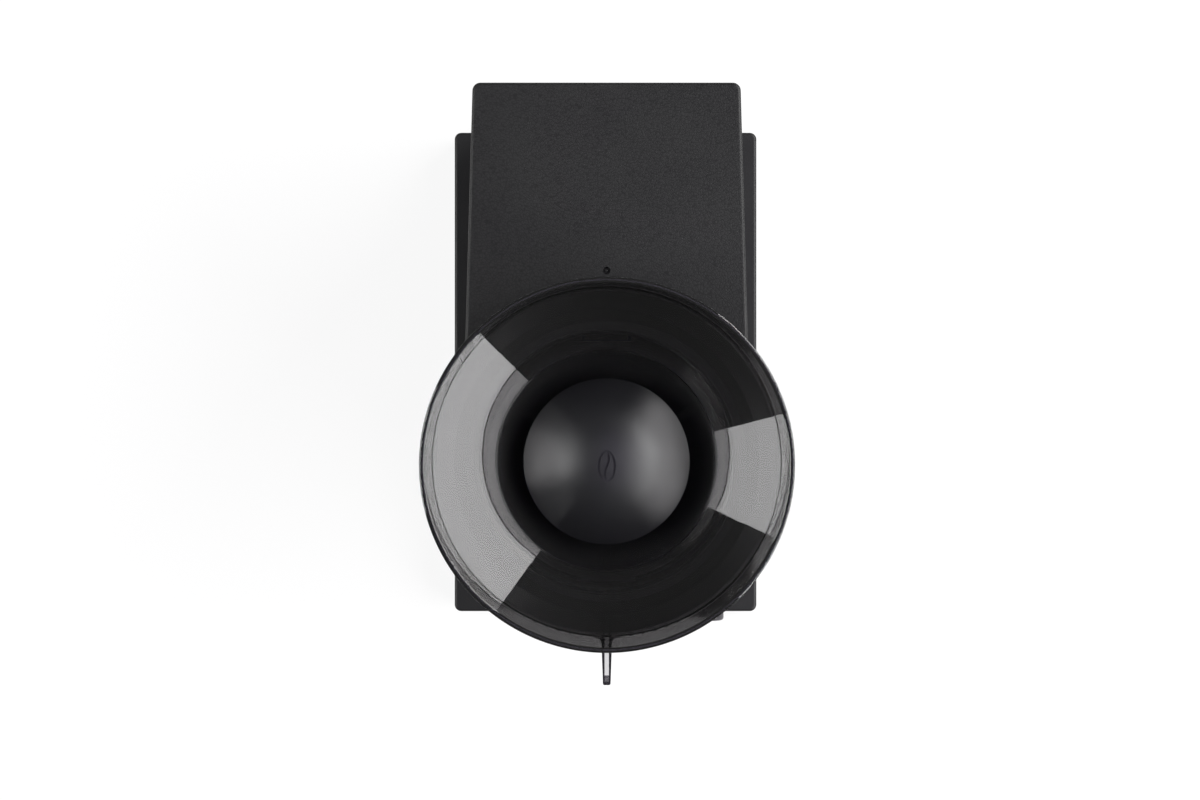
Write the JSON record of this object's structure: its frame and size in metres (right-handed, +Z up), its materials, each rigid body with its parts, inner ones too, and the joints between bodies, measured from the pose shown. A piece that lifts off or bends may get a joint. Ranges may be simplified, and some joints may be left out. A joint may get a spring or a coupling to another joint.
{
  "type": "burr coffee grinder",
  "caption": "Electric burr coffee grinder: flat base, drafted tower with a round head, smoked load bin that turns to set the grind, and a catch cup under the chute.",
  "frame": {"origin": "centre of the base slab's footprint, on the surface that the rubber feet stand on, which is within 1 mm of the centre of the whole box", "axes": "+Z up, front of the grinder towards -Y, power button at the front right (+X)"},
  "size_m": [0.128, 0.2208, 0.256],
  "materials": {
    "shell_black": "satin black moulded plastic, fine leather grain on the flat top",
    "satin_black": "smooth satin black plastic",
    "smoked_clear": "smoked transparent plastic, polished",
    "button_grey": "satin grey",
    "rubber": "matte",
    "zinc_screw": "zinc plated",
    "steel": "machined",
    "burr_steel": "hardened and ground",
    "nylon": "natural nylon",
    "grey_nylon": "glass-filled nylon",
    "board_green": "solder-masked board",
    "copper": "copper",
    "brass": "sintered bronze",
    "lead_red": "insulated wire"
  },
  "bodies": {
    "housing": {"base_cover": "shell_black", "base_tray": "satin_black", "rubber_feet": "rubber", "tray_screws": "zinc_screw", "button_spring": "steel", "button_switch": "satin_black", "button_bracket": "nylon", "control_board": "board_green", "cord_gland": "rubber", "mains_lead": "rubber", "locating_magnet": "steel", "body_shell": "shell_black", "front_panel": "shell_black", "head_floor": "shell_black", "panel_screws": "zinc_screw", "dial_ring": "satin_black", "power_board": "board_green", "board_parts": "nylon", "motor_can": "steel", "motor_end_cap": "nylon", "motor_magnets": "satin_black", "motor_bearings": "brass", "motor_brushes": "copper", "motor_screws": "zinc_screw", "motor_leads": "lead_red", "gearbox_housing": "grey_nylon", "gearbox_lid": "grey_nylon", "gearbox_screws": "zinc_screw", "idler_pin": "steel", "shaft_bearings": "steel", "shaft_seal": "rubber", "grind_chamber": "grey_nylon", "chamber_screws": "zinc_screw", "grind_chute": "satin_black", "carrier_spring": "steel", "detent_spring": "steel"},
    "button": {"power_button": "button_grey"},
    "rotor": {"motor_rotor": "steel", "cooling_fan": "nylon", "motor_pinion": "steel"},
    "idler": {"idler_gear": "nylon"},
    "drive": {"main_gear": "nylon", "drive_shaft": "steel", "sweeper": "steel", "cone_burr": "burr_steel", "burr_nut": "steel"},
    "carrier": {"outer_burr": "burr_steel", "burr_carrier": "grey_nylon"},
    "adjuster": {"adjust_ring": "nylon"},
    "bin": {"load_bin": "smoked_clear", "bean_dome": "satin_black"},
    "catch": {"catch_cup": "satin_black", "cup_disc": "steel"}
  },
  "joints": [
    {"name": "grind_adjust", "type": "hinge", "parent": "housing", "child": "adjuster", "pos_m": [0, -0.0337, 0.185], "axis": [0, 0, 1], "range_deg": [-80, 80]},
    {"name": "bin_lift", "type": "slide", "parent": "adjuster", "child": "bin", "axis": [0, 0, 1], "range_m": [0, 0.09]},
    {"name": "carrier_feed", "type": "slide", "parent": "housing", "child": "carrier", "axis": [0, 0, 1], "range_m": [-0.000334, 0.000334], "deforming": ["carrier_spring"]},
    {"name": "burr_spin", "type": "hinge", "parent": "housing", "child": "drive", "pos_m": [0, -0.0337, 0.16], "axis": [0, 0, 1], "continuous": true},
    {"name": "idler_spin", "type": "hinge", "parent": "housing", "child": "idler", "pos_m": [0, 0.0038, 0.14], "axis": [0, 0, 1], "continuous": true},
    {"name": "motor_spin", "type": "hinge", "parent": "housing", "child": "rotor", "pos_m": [0, 0.04005, 0.1], "axis": [0, 0, 1], "continuous": true},
    {"name": "catch_slide", "type": "slide", "parent": "housing", "child": "catch", "axis": [0, -1, 0], "range_m": [0, 0.085]},
    {"name": "button_press", "type": "slide", "parent": "housing", "child": "button", "axis": [0, 1, 0], "range_m": [0, 0.0018], "stiffness_N_per_m": 900, "springref_m": -0.0008, "deforming": ["button_spring"]}
  ],
  "couplings": [
    {"joint": "carrier_feed", "follows": "grind_adjust", "m_per_rad": 0.0002387},
    {"joint": "idler_spin", "follows": "burr_spin", "ratio": -3.1667},
    {"joint": "motor_spin", "follows": "burr_spin", "ratio": 15.2}
  ]
}
